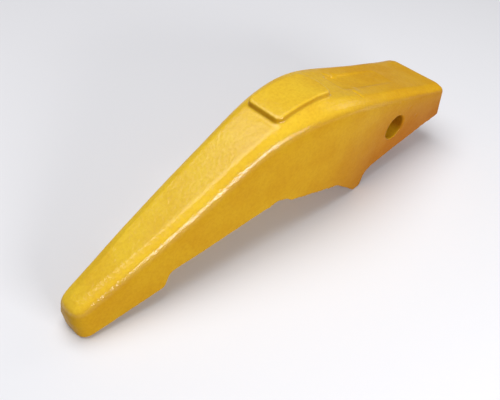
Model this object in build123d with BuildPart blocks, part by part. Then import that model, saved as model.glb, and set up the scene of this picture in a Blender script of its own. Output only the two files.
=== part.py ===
from build123d import *
from math import asin, atan2, cos, degrees, hypot, radians, sin, sqrt, tan
import os

# Bucket tooth adapter: one steel casting that is welded over the lip of a bucket.
# Sizes are in millimetres, angles in degrees. The casting is drawn in the lip frame:
# X runs along the lip plate from the tail of the strap to the tip of the nose, Z is
# square to the plate, Z = 0 is the face that lies on the plate, Y = 0 is the middle.

# Underside, from the tail to the nose tip
TAIL_LENGTH = 76.0
TAIL_SLOPE = 3.0
STEP_HEIGHT = 12.0
STEP_SLOPE = 56.0
LIP_SEAT_LENGTH = 108.0
BEVEL_SEAT_LENGTH = 73.0
BEVEL_SLOPE = 21.5
HOOK_BACK_SLOPE = 47.0
HOOK_TIP_LENGTH = 9.0
HOOK_DEPTH = 13.5
HOOK_FRONT_SLOPE = 62.0
NOSE_DROP = 44.0
NOSE_LENGTH = 119.0

# Top line: the strap rises, turns over the apex and falls along the nose
TAIL_RISE = 14.0
STRAP_SLOPE = 16.0
APEX_RADIUS = 150.0
NOSE_SLOPE = 25.5
NOSE_TIP_HEIGHT = 35.0

# Widths at mid height, each at its distance from the tail end
TAIL_WIDTH = 29.5
STRAP_WIDTH = 50.0
STRAP_WIDTH_AT = 100.0
NECK_WIDTH = 59.5
NECK_WIDTH_AT = 180.0
BODY_WIDTH = 78.5
BODY_WIDTH_AT = 268.0
NOSE_WIDTH = 72.0
NOSE_WIDTH_AT = 335.0

# Draft: the strap narrows towards its top, the nose towards its bottom
STRAP_DRAFT = 2.5
NOSE_DRAFT = 3.0

# Crown of the top: a flat in the middle, and a bevel that falls to each side
TAIL_FLAT_WIDTH = 18.0
NECK_FLAT_WIDTH = 38.0
NOSE_FLAT_WIDTH = 53.5
TAIL_CROWN = 1.2
NECK_CROWN = 7.5
NOSE_CROWN = 3.3
CROWN_RADIUS = 8.0

# Rounding of the outside and of the corners of the underside
TAIL_CORNER_RADIUS = 11.0
TIP_CORNER_RADIUS = 6.0
UPPER_EDGE_RADIUS = 6.5
LOWER_EDGE_CHAMFER = 2.0
STEP_FOOT_RADIUS = 5.0
STEP_ROOT_RADIUS = 6.0
BEVEL_ROOT_RADIUS = 14.0
HOOK_HEEL_RADIUS = 4.0
HOOK_TOE_RADIUS = 4.0
HOOK_FRONT_RADIUS = 9.0

# Relief for the lip's edge, at the bend of the seat
RELIEF_RADIUS = 20.0
RELIEF_DEPTH = 2.0

# Raised pad on the apex
PAD_START = 210.0
PAD_LENGTH = 62.0
PAD_WIDTH = 39.0
PAD_HEIGHT = 5.5
PAD_END_BULGE = 5.0
PAD_CORNER_RADIUS = 6.0
PAD_RIM_CHAMFER = 1.5

# Cross pin bore in the nose
PIN_BORE = 25.0
PIN_TO_TIP = 79.0
PIN_ABOVE_NOSE_BOTTOM = 31.5
PIN_BORE_CHAMFER = 1.2

# Stabilising flat, sunk in the top of the nose
FLAT_FROM_PAD = 24.0
FLAT_LENGTH = 72.0
FLAT_WIDTH = 27.0
FLAT_DEPTH = 2.5
FLAT_CORNER_RADIUS = 5.0

# Cross-sections in the loft, evenly spaced, the first and last past the ends
SECTIONS = 15
PAST_END = 20.0

# Stations and heights of the underside
step_top = TAIL_LENGTH + STEP_HEIGHT / tan(radians(STEP_SLOPE))
lip_bend = step_top + LIP_SEAT_LENGTH
bevel_end = lip_bend + BEVEL_SEAT_LENGTH
bevel_bottom = -BEVEL_SEAT_LENGTH * tan(radians(BEVEL_SLOPE))
hook_bottom = -NOSE_DROP - HOOK_DEPTH
hook_heel = bevel_end + (bevel_bottom - hook_bottom) / tan(radians(HOOK_BACK_SLOPE))
hook_toe = hook_heel + HOOK_TIP_LENGTH
nose_base = hook_toe + HOOK_DEPTH / tan(radians(HOOK_FRONT_SLOPE))
nose_tip = nose_base + NOSE_LENGTH
tail_fall = tan(radians(TAIL_SLOPE))
tail_bottom = -STEP_HEIGHT - TAIL_LENGTH * tail_fall
under_all = hook_bottom - PAST_END
pad_end = PAD_START + PAD_LENGTH
pin_x = nose_tip - PIN_TO_TIP
pin_z = PIN_ABOVE_NOSE_BOTTOM - NOSE_DROP

# Top line: two straight runs and the arc of the apex between them
strap_rise = tan(radians(STRAP_SLOPE))
nose_fall = tan(radians(NOSE_SLOPE))
tip_top = NOSE_TIP_HEIGHT - NOSE_DROP
peak_x = (tip_top + nose_fall * nose_tip - TAIL_RISE) / (strap_rise + nose_fall)
peak_z = TAIL_RISE + strap_rise * peak_x
arc_tangent = APEX_RADIUS * tan(radians(STRAP_SLOPE + NOSE_SLOPE) / 2)
arc_start = peak_x - arc_tangent * cos(radians(STRAP_SLOPE))
arc_end = peak_x + arc_tangent * cos(radians(NOSE_SLOPE))
arc_x = arc_start + APEX_RADIUS * sin(radians(STRAP_SLOPE))
arc_z = TAIL_RISE + strap_rise * arc_start - APEX_RADIUS * cos(radians(STRAP_SLOPE))


def top_height(x):
    if x < arc_start:
        return TAIL_RISE + strap_rise * x
    if x > arc_end:
        return tip_top + nose_fall * (nose_tip - x)
    return arc_z + sqrt(APEX_RADIUS**2 - (x - arc_x) ** 2)


def between(x, sizes):
    # a size at x, in straight runs between those given as (station, size), then level
    for (x0, size0), (x1, size1) in zip(sizes, sizes[1:]):
        if x <= x1:
            return size0 + (size1 - size0) * (x - x0) / (x1 - x0)
    return sizes[-1][1]


width_stations = [
    (0, TAIL_WIDTH),
    (STRAP_WIDTH_AT, STRAP_WIDTH),
    (NECK_WIDTH_AT, NECK_WIDTH),
    (BODY_WIDTH_AT, BODY_WIDTH),
    (NOSE_WIDTH_AT, NOSE_WIDTH),
]
flat_stations = [(0, TAIL_FLAT_WIDTH), (lip_bend, NECK_FLAT_WIDTH), (nose_base, NOSE_FLAT_WIDTH)]
crown_stations = [(0, TAIL_CROWN), (lip_bend, NECK_CROWN), (peak_x, NECK_CROWN), (nose_base, NOSE_CROWN)]
draft_stations = [(0, STRAP_DRAFT), (lip_bend, STRAP_DRAFT), (nose_base, -NOSE_DRAFT)]
bottom_stations = [(0, 0), (lip_bend, 0), (nose_base, -NOSE_DROP)]


def side_at(x, z):
    # half width of the casting at a height, with its draft, measured from mid height
    middle_z = (top_height(x) - between(x, crown_stations) + between(x, bottom_stations)) / 2
    lean = tan(radians(between(x, draft_stations)))
    return between(x, width_stations) / 2 - lean * (z - middle_z)


def section_outline(x):
    # half a hexagon and its mirror image: base, side, bevel and flat
    flat_z = top_height(x)
    edge_z = flat_z - between(x, crown_stations)
    flat_y = between(x, flat_stations) / 2
    right = [(side_at(x, under_all), under_all), (side_at(x, edge_z), edge_z), (flat_y, flat_z)]
    return right + [(-y, z) for y, z in reversed(right)]


def cross_plane(x):
    return Plane(origin=(x, 0, 0), x_dir=(0, 1, 0), z_dir=(1, 0, 0))


def end_face(part, which):
    return part.faces().filter_by(Axis.X).sort_by(Axis.X)[which]


def side_edges(face):
    by_side = face.edges().sort_by(Axis.Y)
    return [by_side[0], by_side[-1]]


def long_edges(part):
    # edges that run the casting's whole length, the inmost first
    shortest = nose_tip - 2 * (TAIL_CORNER_RADIUS + TIP_CORNER_RADIUS)
    return part.edges().filter_by(lambda e: e.length > shortest).sort_by(lambda e: abs(e.center().Y))


def tail_rim(part):
    # edges round the top of the tail, its corners included
    low = TAIL_RISE - TAIL_CROWN - UPPER_EDGE_RADIUS
    near = part.edges().filter_by(lambda e: e.bounding_box().max.X < 2 * TAIL_CORNER_RADIUS)
    return near.filter_by(lambda e: e.center().Z > low)


# Pad: it follows the apex arc, and its nose end bows out
with BuildPart() as pad:
    with BuildSketch() as pad_plan:
        with BuildLine():
            sides = Polyline(
                (pad_end, PAD_WIDTH / 2),
                (PAD_START, PAD_WIDTH / 2),
                (PAD_START, -PAD_WIDTH / 2),
                (pad_end, -PAD_WIDTH / 2),
            )
            ThreePointArc(sides @ 1, (pad_end + PAD_END_BULGE, 0), sides @ 0)
        make_face()
        fillet(pad_plan.vertices(), PAD_CORNER_RADIUS)
    extrude(amount=peak_z + PAD_HEIGHT)
    with BuildSketch(Plane.XZ):
        with Locations((arc_x, arc_z)):
            Circle(APEX_RADIUS + PAD_HEIGHT)
    extrude(amount=PAD_WIDTH, both=True, mode=Mode.INTERSECT)
    chamfer(pad.faces().sort_by(Axis.Z)[-1].edges(), PAD_RIM_CHAMFER)

# Stabilising flat: deepest at its pad end, it runs out towards the tip
flat_start = pad_end + FLAT_FROM_PAD
with BuildPart() as flat_cut:
    with BuildSketch():
        with Locations((flat_start + FLAT_LENGTH / 2, 0)):
            RectangleRounded(FLAT_LENGTH, FLAT_WIDTH, FLAT_CORNER_RADIUS)
    extrude(amount=peak_z)
    with BuildSketch(Plane.XZ):
        with BuildLine():
            Polyline(
                (flat_start, top_height(flat_start) - FLAT_DEPTH),
                (flat_start, peak_z),
                (flat_start + FLAT_LENGTH, peak_z),
                (flat_start + FLAT_LENGTH, top_height(flat_start + FLAT_LENGTH)),
                close=True,
            )
        make_face()
    extrude(amount=FLAT_WIDTH, both=True, mode=Mode.INTERSECT)

with BuildPart() as casting:
    # Body: one loft through the cross-sections, cut off square at the tail and the tip
    for i in range(SECTIONS):
        x = -PAST_END + i * (nose_tip + 2 * PAST_END) / (SECTIONS - 1)
        with BuildSketch(cross_plane(x)):
            Polygon(*section_outline(x), align=None)
    loft()
    with BuildSketch(Plane.XY.offset(under_all)):
        with Locations((nose_tip / 2, 0)):
            Rectangle(nose_tip, 2 * BODY_WIDTH)
    extrude(amount=peak_z - under_all, mode=Mode.INTERSECT)

    # Underside: tail, step, lip seat, bevel seat, hook and nose
    with BuildSketch(Plane.XZ):
        with BuildLine():
            underside = FilletPolyline(
                (-PAST_END, tail_bottom - PAST_END * tail_fall),
                (TAIL_LENGTH, -STEP_HEIGHT),
                (step_top, 0),
                (lip_bend, 0),
                (bevel_end, bevel_bottom),
                (hook_heel, hook_bottom),
                (hook_toe, hook_bottom),
                (nose_base, -NOSE_DROP),
                (nose_tip + PAST_END, -NOSE_DROP),
                radius=[
                    STEP_FOOT_RADIUS,
                    STEP_ROOT_RADIUS,
                    0,
                    BEVEL_ROOT_RADIUS,
                    HOOK_HEEL_RADIUS,
                    HOOK_TOE_RADIUS,
                    HOOK_FRONT_RADIUS,
                ],
            )
            Polyline(
                underside @ 1,
                (nose_tip + PAST_END, under_all - PAST_END),
                (-PAST_END, under_all - PAST_END),
                underside @ 0,
            )
        make_face()
        with Locations((lip_bend, RELIEF_DEPTH - RELIEF_RADIUS)):
            Circle(RELIEF_RADIUS)
    extrude(amount=BODY_WIDTH, both=True, mode=Mode.SUBTRACT)

    # Rounding: corners in plan, the crown, then the upper rim, which runs on round the
    # corners. The lower rim gets a weld bevel.
    fillet(side_edges(end_face(casting, 0)), TAIL_CORNER_RADIUS)
    fillet(side_edges(end_face(casting, -1)), TIP_CORNER_RADIUS)
    fillet(long_edges(casting)[:2], CROWN_RADIUS)
    fillet(long_edges(casting)[-2:] + tail_rim(casting), UPPER_EDGE_RADIUS)
    chamfer(end_face(casting, 0).edges().sort_by(Axis.Z)[0], LOWER_EDGE_CHAMFER)

    # Stabilising flat in the top of the nose, and the pad on the apex
    add(flat_cut.part, mode=Mode.SUBTRACT)
    add(pad.part)

    # Cross pin bore, countersunk lightly on both sides
    pin_side = side_at(pin_x, pin_z)
    near_side = Plane(origin=(pin_x, -pin_side, pin_z), z_dir=(0, -1, 0))
    far_side = Plane(origin=(pin_x, pin_side, pin_z), z_dir=(0, 1, 0))
    with Locations(near_side, far_side):
        CounterSinkHole(PIN_BORE / 2, PIN_BORE / 2 + PIN_BORE_CHAMFER, counter_sink_angle=90)

# Lying on a floor, the casting rests on the weld bevel's lower corner, under the tail, and
# on the rounded heel of its hook: it turns until both touch the floor
corner_x = LOWER_EDGE_CHAMFER * cos(radians(TAIL_SLOPE))
corner_z = tail_bottom + corner_x * tail_fall
heel_x = hook_heel + HOOK_HEEL_RADIUS * tan(radians(HOOK_BACK_SLOPE) / 2)
heel_z = hook_bottom + HOOK_HEEL_RADIUS
run = hypot(heel_x - corner_x, heel_z - corner_z)
rest_turn = degrees(atan2(heel_z - corner_z, heel_x - corner_x) - asin(HOOK_HEEL_RADIUS / run))
turned_box = casting.part.moved(Location((0, 0, 0), (0, rest_turn, 0))).bounding_box()
rest_place = Location((-turned_box.center().X, 0, -turned_box.min.Z), (0, rest_turn, 0))

with BuildPart() as adapter_casting:
    with Locations(rest_place):
        add(casting.part)

os.makedirs("parts", exist_ok=True)
adapter_casting.part.label = "adapter_casting"
export_step(adapter_casting.part, "parts/adapter_casting.step")


def in_row(x, z):
    # where a point of the middle plane comes to in the lying pose
    point = (rest_place * Location((x, 0, z))).position
    return f"{point.X:.2f} {point.Z:.2f}"


box = adapter_casting.part.bounding_box()
print(f"size {box.size.X:.1f} x {box.size.Y:.1f} x {box.size.Z:.1f}, turned {rest_turn:.3f} degrees")
print(f"volume {adapter_casting.part.volume / 1e6:.4f} million mm3")
print(f"pin bore axis {in_row(pin_x, pin_z)}, length {2 * pin_side:.2f}")
print(f"lip seat from {in_row(step_top, 0)} to {in_row(lip_bend, 0)}")
print(f"bevel seat to {in_row(bevel_end, bevel_bottom)}")
print(f"hook heel {in_row(hook_heel, hook_bottom)}")
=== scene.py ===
# %% [markdown]
# # A painted steel casting: the bucket tooth adapter
#
# The object is one lump of cast steel that is welded over the lip of a digger's bucket.
# Its long tapered strap lies on the lip plate, a hook catches the lip's edge, and the
# tooth is pushed over the blunt nose and held by a pin through the round hole.
#
# Nothing on it moves and nothing can be taken off, so there is one visible piece. The
# lesson is in its surface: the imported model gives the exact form, and here it gets the soft
# unevenness of a sand casting and a coat of machine yellow, full on top and thin below.

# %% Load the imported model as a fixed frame
import math

import bmesh
import bpy
from mathutils import Matrix, Vector, noise


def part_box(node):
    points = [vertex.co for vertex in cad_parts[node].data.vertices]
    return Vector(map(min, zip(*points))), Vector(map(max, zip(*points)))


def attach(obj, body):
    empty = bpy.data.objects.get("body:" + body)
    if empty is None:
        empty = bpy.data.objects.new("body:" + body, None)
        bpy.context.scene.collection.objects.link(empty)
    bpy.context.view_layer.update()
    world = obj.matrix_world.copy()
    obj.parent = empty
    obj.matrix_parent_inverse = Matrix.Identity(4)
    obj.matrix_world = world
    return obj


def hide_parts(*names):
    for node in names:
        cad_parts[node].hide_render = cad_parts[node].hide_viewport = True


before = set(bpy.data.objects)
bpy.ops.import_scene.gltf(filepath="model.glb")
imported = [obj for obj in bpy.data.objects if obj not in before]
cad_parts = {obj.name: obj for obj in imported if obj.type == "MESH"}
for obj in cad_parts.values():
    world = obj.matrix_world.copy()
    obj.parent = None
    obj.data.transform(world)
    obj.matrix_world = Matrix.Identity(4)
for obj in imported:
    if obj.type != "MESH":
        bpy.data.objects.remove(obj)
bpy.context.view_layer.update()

casting_low, casting_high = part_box("adapter_casting")
print("casting from", casting_low, "to", casting_high)

# %% [markdown]
# ## Sizes
#
# Blender works in metres here, and foundry sizes are in millimetres. They could be typed as
# small decimals, but those are easy to get wrong by a factor of ten, so every size is
# written in millimetres and turned by one function.

# %% Millimetres
def mm(size):
    return size / 1000


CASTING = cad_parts["adapter_casting"]
print(f"overall length {(casting_high.x - casting_low.x) * 1000:.1f} mm")

# %% [markdown]
# ## The skin of the casting
#
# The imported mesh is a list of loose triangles: sharp where two faces meet, and flat across
# each facet. Gloss paint would show every one of them. It could be smoothed by normals
# alone, but a poured surface isn't exact anywhere, so the form itself has to give a little.
#
# So a copy of the mesh is welded together, covered again with small even squares by the
# Remesh modifier, and relaxed. That rounds each corner by about a grain of moulding sand
# and paint, which is what the real corners look like.

# %% Weld a copy, and make its modifiers final
# Corners of triangles that are closer than this are one point
WELD_GAP = mm(0.01)


def welded_copy(source, name):
    mesh = source.data.copy()
    mesh.materials.clear()
    piece = bpy.data.objects.new(name, mesh)
    bpy.context.scene.collection.objects.link(piece)
    shape = bmesh.new()
    shape.from_mesh(mesh)
    bmesh.ops.remove_doubles(shape, verts=shape.verts, dist=WELD_GAP)
    bmesh.ops.recalc_face_normals(shape, faces=shape.faces)
    shape.to_mesh(mesh)
    shape.free()
    return piece


def apply_modifiers(piece):
    depsgraph = bpy.context.evaluated_depsgraph_get()
    finished = bpy.data.meshes.new_from_object(piece.evaluated_get(depsgraph))
    piece.modifiers.clear()
    piece.data = finished


skin = welded_copy(CASTING, "casting_skin")
print("points after welding", len(skin.data.vertices))

# %% Cover it with small squares
SKIN_SQUARE = mm(1.2)
RELAX_STEPS = 1
# Each step takes a point half way to the middle of its neighbours
RELAX_SHARE = 0.5

cover = skin.modifiers.new("cover", "REMESH")
cover.mode = "VOXEL"
cover.voxel_size = SKIN_SQUARE
cover.use_smooth_shade = True
relax = skin.modifiers.new("relax", "SMOOTH")
relax.factor = RELAX_SHARE
relax.iterations = RELAX_STEPS
apply_modifiers(skin)
print("squares in the skin", len(skin.data.polygons))

# %% [markdown]
# ## Soft crests
#
# The long crests between the bevels and the sides are where the mould is rubbed and where
# castings knock together, so they come out rounder than drawn. A wider bevel would leave a
# hard line again. Relaxing only the points whose surface leans like a crest, and a few rings
# of their neighbours, rounds them without touching the crisp pad. The end of the tail gets
# the same, since there the top runs down into the end face without a clear edge.

# %% Which points lie on a crest
# Places that stay as drawn: the pad, the rim of the pin hole and the end of the tip
PAD_FROM_X, PAD_TO_X, PAD_HALF_WIDTH = mm(-25), mm(85), mm(24.5)
BORE_X, BORE_Z, BORE_CLEAR = mm(132.5), mm(52.3), mm(20)
TIP_FROM_X = mm(200)
# The end of the tail, which softens like a crest
TAIL_TO_X = mm(-185)
# How a crest faces: its normal's upward part lies between a wall's 0 and a flat's 1, and the
# rest of it leans to a side, or back over the end of the tail
CREST_UP_FROM, CREST_UP_TO = 0.15, 0.75
LEANS_ASIDE, LEANS_BACK = 0.4, -0.2


def may_move(vert):
    x, y, z = vert.co
    on_pad = PAD_FROM_X < x < PAD_TO_X and abs(y) < PAD_HALF_WIDTH
    near_bore = math.hypot(x - BORE_X, z - BORE_Z) < BORE_CLEAR
    return x < TIP_FROM_X and not on_pad and not near_bore


def on_crest(vert):
    over_side = abs(vert.normal.y) > LEANS_ASIDE
    over_tail_end = vert.co.x < TAIL_TO_X and vert.normal.x < LEANS_BACK
    leaning = CREST_UP_FROM < vert.normal.z < CREST_UP_TO
    return leaning and (over_side or over_tail_end) and may_move(vert)


# %% Relax the points on the crests
CREST_RINGS = 8
CREST_STEPS = 110
FADE_LENGTH = mm(60)

shape = bmesh.new()
shape.from_mesh(skin.data)
shape.normal_update()
soft = {vert for vert in shape.verts if on_crest(vert)}
for ring in range(CREST_RINGS):
    around = {edge.other_vert(vert) for vert in soft for edge in vert.link_edges}
    soft |= {vert for vert in around if may_move(vert)}
# A set has no order of its own, so the points are put back in the mesh's
shape.verts.index_update()
soft = sorted(soft, key=lambda vert: vert.index)
axes = {"use_axis_x": True, "use_axis_y": True, "use_axis_z": True}
for step in range(CREST_STEPS):
    # Fewer steps towards the tip, so the softening runs out without a kink
    reach = TIP_FROM_X - FADE_LENGTH * step / CREST_STEPS
    moving = [vert for vert in soft if vert.co.x < reach]
    bmesh.ops.smooth_vert(shape, verts=moving, factor=RELAX_SHARE, **axes)
shape.to_mesh(skin.data)
shape.free()
print("points relaxed on the crests", len(soft))

# %% [markdown]
# ## Unevenness of the poured surface
#
# Green sand gives way a little when steel runs in, so the faces swell and sink by a few
# tenths of a millimetre over some centimetres, and the grain leaves a finer ripple. A bump
# in the material could fake both, but the outline would stay ruler-straight. So they are
# real form: each point moves along its normal by a fractal noise that is read at the point's
# own place, and comes out the same on each run.

# %% Swell and ripple
# Depth, span from one swell to the next, how fast finer waves die away, and their number
WAVES = [
    (mm(0.35), mm(38), 1.0, 2),
    (mm(0.1), mm(7), 0.8, 3),
]
# Each finer wave is half as long as the one before
FINER = 2.0


def uneven(point):
    # The noise runs from about -1 to 1, the ripple's a little further. Shifted below 0, the
    # two together sink this skin by 0.02 to 0.4 mm and raise it nowhere.
    depths = []
    for depth, span, dying, number in WAVES:
        wave = noise.fractal(point / span, dying, FINER, number)
        depths.append(depth * (wave - 1) / 2)
    return sum(depths)


# %% [markdown]
# ## Marks of the mould
#
# The mould left marks too: a burr of flash where its halves met at the foot of the pad, two
# gouges behind the pad where it was ground off, and sand pits near the pin hole. They could
# be cut as solids, but they are shallow and soft-edged. Each is a short rounded track
# instead, so one small function can raise or sink them all.

# %% Burr, gouges and pits
# Each mark: start and end in mm, half width in mm, height (or depth, below zero) in mm
MARKS = [
    ((24, -22.5, 118.5), (36, -22.5, 118.5), 1.7, 0.7),
    ((77.5, 17, 108.6), (84.5, 11.6, 104.3), 2.4, -0.7),
    ((79.2, -18.5, 108.1), (79.2, -27.8, 107.7), 2.4, -0.8),
    ((131.8, -37.4, 82.3), (134.8, -37.4, 81.3), 2.2, -0.6),
    ((149.7, -36.7, 68.2), (152.5, -36.7, 68.0), 2.0, -0.5),
    ((166, -36, 52.1), (167.5, -36, 50.5), 2.0, -0.5),
]


def marked(point):
    height = 0.0
    for start, end, half_width, rise in MARKS:
        foot, way = mm(Vector(start)), mm(Vector(end) - Vector(start))
        share = min(1.0, max(0.0, (point - foot).dot(way) / way.length_squared))
        reach = (point - foot - way * share).length / mm(half_width)
        if reach < 1:
            height += mm(rise) * (1 - reach * reach) ** 2
    return height


# %% Move the skin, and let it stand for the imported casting
shape = bmesh.new()
shape.from_mesh(skin.data)
shape.normal_update()
moves = [uneven(vert.co) + marked(vert.co) for vert in shape.verts]
for vert, move in zip(shape.verts, moves):
    vert.co += vert.normal * move
shape.to_mesh(skin.data)
shape.free()
print(f"surface moved by {min(moves) * 1000:.2f} to {max(moves) * 1000:.2f} mm")

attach(skin, "root")
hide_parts("adapter_casting")

# %% [markdown]
# ## Colours and nodes
#
# Colours are picked as sRGB hex values, as from a paint chart, and the shader wants linear
# ones, so one function turns them. Another adds a node with its settings and its links. It
# serves every kind of node, so a material reads as a list of what is joined to what.

# %% Colour and node helpers
def linear(hex_colour):
    channels = [int(hex_colour[i : i + 2], 16) / 255 for i in (0, 2, 4)]
    return [c / 12.92 if c <= 0.04045 else ((c + 0.055) / 1.055) ** 2.4 for c in channels] + [1.0]


def add_node(tree, kind, settings=None, **inputs):
    # An input is given by its name, with _ for a space, or as i and its number
    node = tree.nodes.new(kind)
    for name, value in (settings or {}).items():
        setattr(node, name, value)
    for name, value in inputs.items():
        socket = node.inputs[int(name[1:]) if name[1:].isdigit() else name.replace("_", " ")]
        if isinstance(value, bpy.types.NodeSocket):
            tree.links.new(value, socket)
        else:
            socket.default_value = value
    return node


# %% [markdown]
# ## Machine yellow enamel on cast steel
#
# The real surface is steel from a sand mould, shot-blasted and sprayed with one thick coat
# of alkyd enamel. It could be one yellow with a gloss, but a sprayed coat is never even: it
# lies mottled on the grain of the casting. Light and shade are painted into the colour too:
# the tops are a paler lit yellow, the top of the nose and the sides a deeper shaded one, and
# the sides turn a darker orange low down towards the nose.
#
# So the colour is mixed from four yellows by the place and the slope of the surface. The
# gloss comes in two layers: a weak broad sheen from the pigment, the same all over, and a
# sharp one from the binder that floats on top. The sharp one is a coat whose weight follows
# the slope: full on the rubbed crests, less on the flats, and nearly none on the sides, where
# dry overspray settled, on the side that faced away, and on the nose.

# %% Yellows of the enamel: a painted lit top, its painted shade on the nose top and the sides, an orange for low on the nose, and two stains
# Painted light: the enamel's yellow as it looks lit on the tops
LIT_TOP_YELLOW = "EAC432"
# Painted shade: the top's yellow darkened for the top of the nose
SHADED_NOSE_TOP_YELLOW = "D8A51C"
# Painted shade: the same enamel as it looks in shade on the sides
SHADED_SIDE_YELLOW = "C6991B"
# A darker orange that the sides turn to, low down towards the nose
LOW_NOSE_ORANGE = "AC6910"
MOTTLE_STAIN = "D9A520"
SPECK_STAIN = "C8962A"

# %% Patterns in the coat
# Spans of the patterns. Mottle and dryness are patches a few centimetres wide. Moulding sand
# is about half a millimetre and orange peel one or two, which is too fine to show from a step
# away, so grain and peel are drawn coarser.
PATTERNS = {"mottle": mm(34), "dryness": mm(17), "grain": mm(2.6), "peel": mm(3)}
PATTERN_WAVES, PATTERN_ROUGHNESS = 3.0, 0.6
GRAIN_DEPTH, GRAIN_STRENGTH = mm(0.12), 0.6
PEEL_DEPTH, PEEL_STRENGTH = mm(0.6), 0.8


def casting_readings(tree):
    # What can be read at a point: its place, how its surface faces, and the patterns there
    place = add_node(tree, "ShaderNodeTexCoord").outputs["Object"]
    facing = add_node(tree, "ShaderNodeNewGeometry").outputs["Normal"]
    at = add_node(tree, "ShaderNodeSeparateXYZ", Vector=place).outputs
    leans = add_node(tree, "ShaderNodeSeparateXYZ", Vector=facing).outputs
    reads = {"x": at["X"], "z": at["Z"], "faces_up": leans["Z"], "faces_away": leans["Y"]}
    for name, span in PATTERNS.items():
        waves = {"Scale": 1 / span, "Detail": PATTERN_WAVES, "Roughness": PATTERN_ROUGHNESS}
        reads[name] = add_node(tree, "ShaderNodeTexNoise", Vector=place, **waves).outputs["Fac"]
    return reads


# %% Where the coat changes
# Each line: what is worked out, what it reads, from where to where that changes, and what
# comes out at both ends. A word at the end stands for the result of an earlier line.
COAT_CHANGES = [
    # Colour: painted light on a top and painted shade on a side, painted shade on the top towards the
    # nose, and a darker orange low on the sides towards the ground
    ("is_top", "faces_up", 0.25, 0.85, 0.0, 1.0),
    ("nosewards", "x", mm(-20), mm(150), 0.0, 1.0),
    ("groundwards", "z", mm(22), mm(118), 1.0, 0.0),
    ("mottling", "mottle", 0.3, 0.7, 0.0, 0.22),
    ("specks", "grain", 0.35, 0.7, 0.0, 0.17),
    # Gloss: little on a side, some on a flat, little on the side that faced away
    ("side_gloss", "faces_up", 0.15, 0.45, 0.02, 1.0),
    ("flat_share", "x", mm(40), mm(90), 0.7, 0.25),
    ("flat_gloss", "faces_up", 0.75, 0.95, 1.0, "flat_share"),
    ("away_gloss", "faces_away", 0.12, 0.35, 1.0, 0.08),
    ("nose_gloss", "x", mm(70), mm(130), 1.0, 0.35),
    ("pigment_roughness", "dryness", 0.3, 0.7, 0.3, 0.42),
]


SOFT_STEP = {"interpolation_type": "SMOOTHSTEP"}


def add_changes(tree, reads):
    for name, source, start, end, at_start, at_end in COAT_CHANGES:
        span = {"From_Min": start, "From_Max": end}
        gives = {"To_Min": at_start, "To_Max": reads.get(at_end, at_end)}
        change = add_node(tree, "ShaderNodeMapRange", SOFT_STEP, Value=reads[source], **span, **gives)
        reads[name] = change.outputs["Result"]


# %% Colour and gloss of the coat
TIMES = {"operation": "MULTIPLY"}
BLEND = {"data_type": "RGBA", "blend_type": "MIX"}
STAIN = {"data_type": "RGBA", "blend_type": "MULTIPLY"}
# Number of the Mix node's output for colours. Its colour inputs are numbers 6 and 7.
MIXED = 2


def coat_colour(tree, reads):
    nosewards = reads["nosewards"]
    # Low on the sides and towards the nose, the yellow turns a darker orange
    low_nose_share = add_node(tree, "ShaderNodeMath", TIMES, i0=nosewards, i1=reads["groundwards"]).outputs["Value"]
    sides = {"i6": linear(SHADED_SIDE_YELLOW), "i7": linear(LOW_NOSE_ORANGE)}
    # On the tops, painted shade darkens the yellow towards the nose
    tops = {"i6": linear(LIT_TOP_YELLOW), "i7": linear(SHADED_NOSE_TOP_YELLOW)}
    side = add_node(tree, "ShaderNodeMix", BLEND, i0=low_nose_share, **sides).outputs[MIXED]
    top = add_node(tree, "ShaderNodeMix", BLEND, i0=nosewards, **tops).outputs[MIXED]
    # Painted light and shade: the lit top colour on what faces up, the shaded colour on the sides
    coat = add_node(tree, "ShaderNodeMix", BLEND, i0=reads["is_top"], i6=side, i7=top).outputs[MIXED]
    for patches, stain in (("mottling", MOTTLE_STAIN), ("specks", SPECK_STAIN)):
        stained = {"i0": reads[patches], "i6": coat, "i7": linear(stain)}
        coat = add_node(tree, "ShaderNodeMix", STAIN, **stained).outputs[MIXED]
    return coat


def coat_gloss(tree, reads):
    gloss = reads["side_gloss"]
    for name in ("flat_gloss", "away_gloss", "nose_gloss"):
        gloss = add_node(tree, "ShaderNodeMath", TIMES, i0=gloss, i1=reads[name]).outputs["Value"]
    return gloss


# %% Painted cast steel
# Alkyd enamel bends light about as glass does. The pigment's own sheen is far weaker than is
# typical, because a stronger one whitens the sides, and they are saturated on the real one.
ENAMEL_IOR = 1.5
PIGMENT_SHEEN = 0.03
BINDER_ROUGHNESS = 0.13


def painted_cast_steel():
    # Satin to gloss enamel: a saturated body with little white in it, and a clear highlight
    material = bpy.data.materials.new("machine_yellow_enamel_on_cast_steel")
    material.use_nodes = True
    tree = material.node_tree
    tree.nodes.clear()
    reads = casting_readings(tree)
    add_changes(tree, reads)
    grain = {"Strength": GRAIN_STRENGTH, "Distance": GRAIN_DEPTH, "Height": reads["grain"]}
    peel = {"Strength": PEEL_STRENGTH, "Distance": PEEL_DEPTH, "Height": reads["peel"]}
    shader = add_node(
        tree,
        "ShaderNodeBsdfPrincipled",
        Base_Color=coat_colour(tree, reads),
        Roughness=reads["pigment_roughness"],
        IOR=ENAMEL_IOR,
        Specular_IOR_Level=PIGMENT_SHEEN,
        Coat_Weight=coat_gloss(tree, reads),
        Coat_Roughness=BINDER_ROUGHNESS,
        Coat_IOR=ENAMEL_IOR,
        Normal=add_node(tree, "ShaderNodeBump", **grain).outputs["Normal"],
        Coat_Normal=add_node(tree, "ShaderNodeBump", **peel).outputs["Normal"],
    )
    add_node(tree, "ShaderNodeOutputMaterial", Surface=shader.outputs["BSDF"])
    return material


skin.data.materials.append(painted_cast_steel())
print("nodes in the enamel", len(skin.data.materials[0].node_tree.nodes))

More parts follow.
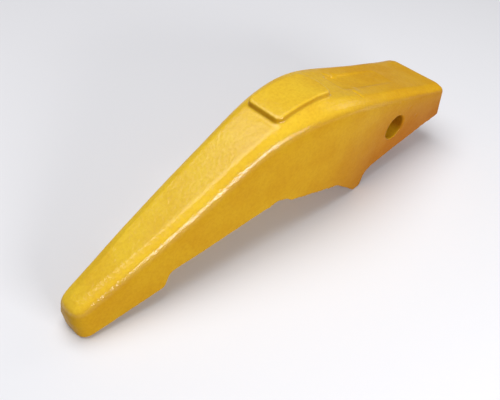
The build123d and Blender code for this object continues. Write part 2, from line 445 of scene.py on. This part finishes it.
# %% [markdown]
# ## Camera
#
# The casting was seen from above its tail and a little to the side, rather close, so its
# far end looks smaller. A long lens from further off would flatten that. The three angles,
# the distance and the focal length were found by laying the casting's outline over the one
# that is to be matched, and they are kept as plain numbers here.

# %% Camera
# Compass turn, tilt below the horizon and roll about the line of sight, in degrees
VIEW_TURN = 45.115
VIEW_TILT = 42.997
VIEW_ROLL = 3.317
LOOK_AT = Vector((mm(-42.22), mm(-18.37), mm(50)))
DISTANCE = mm(564.03)
# The focal length was fitted in pixels of a picture of this width
FRAME_WIDTH_PX = 500
FOCAL_PX = 667.24
# Full-frame sensor width, in mm
SENSOR = 36.0
NEAREST_SEEN = mm(10)

camera_data = bpy.data.cameras.new("camera")
camera_data.sensor_width = SENSOR
camera_data.lens = SENSOR * FOCAL_PX / FRAME_WIDTH_PX
camera_data.clip_start = NEAREST_SEEN
camera = bpy.data.objects.new("camera", camera_data)
bpy.context.scene.collection.objects.link(camera)
turn, tilt, roll = (math.radians(a) for a in (VIEW_TURN, VIEW_TILT, VIEW_ROLL))
forward = Vector((math.sin(turn) * math.cos(tilt), math.cos(turn) * math.cos(tilt), -math.sin(tilt)))
camera.matrix_world = (
    Matrix.Translation(LOOK_AT - forward * DISTANCE)
    @ forward.to_track_quat("-Z", "Y").to_matrix().to_4x4()
    @ Matrix.Rotation(roll, 4, "Z")
)
bpy.context.scene.camera = camera
print(f"camera {DISTANCE:.3f} m away, lens {camera_data.lens:.1f} mm")

# %% [markdown]
# ## Floor
#
# The casting lies on pale backdrop paper. A small sheet would show its edge in the paint's
# reflections, so it is three metres to each side. It is matt and nearly white with a trace of
# blue, because the grey of its shadows is seen against the warm yellow.

# %% Backdrop paper
FLOOR_REACH = 3
PAPER_WHITE = "E8E8EC"
PAPER_ROUGHNESS = 0.9

floor_mesh = bpy.data.meshes.new("floor")
sheet = bmesh.new()
bmesh.ops.create_grid(sheet, x_segments=1, y_segments=1, size=FLOOR_REACH)
sheet.to_mesh(floor_mesh)
sheet.free()
floor = bpy.data.objects.new("floor", floor_mesh)
bpy.context.scene.collection.objects.link(floor)


def pale_paper():
    # Uncoated matt paper: no highlight, so only the soft shadow tells that it is there
    material = bpy.data.materials.new("pale_backdrop_paper")
    material.use_nodes = True
    shader = material.node_tree.nodes["Principled BSDF"]
    shader.inputs["Base Color"].default_value = linear(PAPER_WHITE)
    shader.inputs["Roughness"].default_value = PAPER_ROUGHNESS
    return material


floor_mesh.materials.append(pale_paper())
print("floor to", FLOOR_REACH, "m on each side")

# %% [markdown]
# ## Studio light
#
# Gloss paint shows lamps as much as it shows itself, so each lamp is put where its mirror
# image is wanted. A broad panel overhead lights the top and pales the bevel. A narrow strip
# low on the near side draws the bright streak along the near crest. A weak panel past the
# tip gives the glow where the strap bends down into the nose. One bright sky could light it
# all, but then nothing would be dark enough for the streak to stand out.

# %% Soft lights
# Name, place in metres, width and height in metres, and watts. All face the floor under the
# casting's middle.
LAMPS = [
    ("sky_panel", (-0.15, 0.24, 1.37), 1.25, 1.1, 17.5),
    ("near_strip", (-0.1, -1.08, 0.42), 0.65, 0.2, 8.8),
    ("nose_panel", (1.05, -0.15, 0.73), 0.5, 0.35, 1.0),
]


def soft_light(name, place, width, height, power):
    light = bpy.data.lights.new(name, "AREA")
    light.shape = "RECTANGLE"
    light.size = width
    light.size_y = height
    light.energy = power
    lamp = bpy.data.objects.new(name, light)
    lamp.location = place
    lamp.rotation_euler = (-Vector(place)).to_track_quat("-Z", "Y").to_euler()
    bpy.context.scene.collection.objects.link(lamp)


for lamp in LAMPS:
    soft_light(*lamp)
print("lamps", [lamp[0] for lamp in LAMPS])

# %% Dim surroundings
STUDIO_WHITE = "F2F2F4"
STUDIO_STRENGTH = 0.15

world = bpy.data.worlds.new("studio")
world.use_nodes = True
surroundings = world.node_tree.nodes["Background"].inputs
surroundings["Color"].default_value = linear(STUDIO_WHITE)
surroundings["Strength"].default_value = STUDIO_STRENGTH
bpy.context.scene.world = world
# The plain transform keeps the picked yellows, where the film-like one would grey them
bpy.context.scene.view_settings.view_transform = "Standard"
print("surroundings at", STUDIO_STRENGTH)
